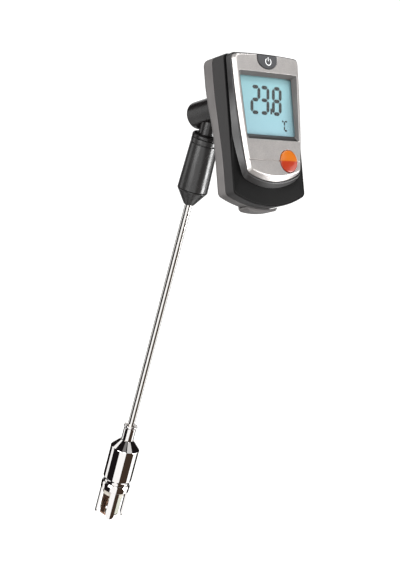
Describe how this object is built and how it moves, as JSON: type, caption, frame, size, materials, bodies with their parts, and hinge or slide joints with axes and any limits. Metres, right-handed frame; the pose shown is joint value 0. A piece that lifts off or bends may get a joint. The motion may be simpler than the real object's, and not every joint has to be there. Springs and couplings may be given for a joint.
{
  "type": "surface-contact thermometer",
  "caption": "Hand-held contact thermometer: tilted display case on a two-axis swivel, slim steel probe, pronged head with a sprung sensor band.",
  "frame": {"origin": "middle of the hand grip on the probe axis", "axes": "+Z along the probe towards the swivel, the display faces -Y tilted 30 degrees up, +X to the right of someone facing the display"},
  "size_m": [0.0466, 0.075, 0.2766],
  "materials": {
    "rear_case_plastic": "fine moulded texture",
    "front_case_plastic": "fine moulded texture",
    "face_housing_plastic": "fine moulded texture",
    "silver_paint": "fine-grained silver paint on plastic",
    "swivel_plastic": "satin gloss",
    "grip_plastic": "satin",
    "button_rubber": "matte with a printed white power sign",
    "badge_lacquer": "domed clear lacquer over two orange tones",
    "window_plastic": "clear moulded window",
    "display_glass": "reflective liquid crystal glass with dark segments",
    "probe_steel": "drawn and polished",
    "head_chrome": "mirror plated",
    "fastener_steel": "zinc plated",
    "spring_steel": "drawn wire",
    "bearing_brass": "turned",
    "band_bronze": "rolled strip",
    "band_nickel": "rolled strip",
    "probe_ceramic": "fired, unglazed",
    "board_laminate": "green solder mask",
    "chip_epoxy": "moulded",
    "strip_rubber": "layered conductive rubber",
    "reflector_white": "white sheet",
    "contact_nickel": "nickel-plated strip",
    "cell_wrap": "printed sleeve without lettering"
  },
  "bodies": {
    "probe": {"swivel_cap": "swivel_plastic", "grip_collar": "grip_plastic", "grip_sleeve": "grip_plastic", "pivot_bush": "bearing_brass", "friction_washer": "spring_steel", "nose_cone": "grip_plastic", "shaft_tube": "probe_steel", "shaft_ferrule": "bearing_brass", "thermocouple_lead": "band_nickel", "head_neck": "head_chrome", "head_body": "head_chrome", "sensor_crown": "head_chrome", "sensor_guide": "probe_ceramic", "sensor_spring": "spring_steel"},
    "elbow": {"swivel_elbow": "swivel_plastic", "pivot_clip": "spring_steel", "display_swivel_clip": "spring_steel"},
    "display_unit": {"rear_shell": "rear_case_plastic", "front_shell": "front_case_plastic", "case_screw_1": "fastener_steel", "case_screw_2": "fastener_steel", "case_screw_3": "fastener_steel", "case_screw_4": "fastener_steel", "face_housing": "face_housing_plastic", "faceplate": "silver_paint", "accent_badge": "badge_lacquer", "display_window": "window_plastic", "display_panel": "display_glass", "display_reflector": "reflector_white", "contact_strip_upper": "strip_rubber", "contact_strip_lower": "strip_rubber", "circuit_board": "board_laminate", "measuring_chip": "chip_epoxy", "power_switch": "contact_nickel", "battery_cell_1": "cell_wrap", "battery_cell_2": "cell_wrap", "battery_cell_3": "cell_wrap", "contact_plate_1": "contact_nickel", "contact_plate_2": "contact_nickel", "contact_plate_3": "contact_nickel", "contact_spring_1": "spring_steel", "contact_spring_2": "spring_steel", "contact_spring_3": "spring_steel"},
    "power_key": {"power_button": "button_rubber"},
    "cover": {"battery_cover": "rear_case_plastic"},
    "sensor": {"band_carrier": "probe_ceramic", "stem_nut": "bearing_brass", "sensor_band_outer": "band_bronze", "sensor_band_inner": "band_nickel"}
  },
  "joints": [
    {"name": "elbow_swivel", "type": "hinge", "parent": "probe", "child": "elbow", "pos_m": [0, 0, 0.03], "axis": [0, 0, 1], "range_deg": [-170, 170]},
    {"name": "display_swivel", "type": "hinge", "parent": "elbow", "child": "display_unit", "pos_m": [0, 0, 0.03], "axis": [0, 0.866, -0.5], "range_deg": [-90, 90]},
    {"name": "power_button_press", "type": "slide", "parent": "display_unit", "child": "power_key", "axis": [0, 0.866, -0.5], "range_m": [0, 0.0005], "stiffness_N_per_m": 1500, "springref_m": -0.0005},
    {"name": "battery_cover_slide", "type": "slide", "parent": "display_unit", "child": "cover", "axis": [0, -0.5, -0.866], "range_m": [0, 0.036]},
    {"name": "sensor_press", "type": "slide", "parent": "probe", "child": "sensor", "axis": [0, 0, 1], "range_m": [0, 0.001], "stiffness_N_per_m": 800, "springref_m": -0.0015, "deforming": ["sensor_spring"]}
  ]
}
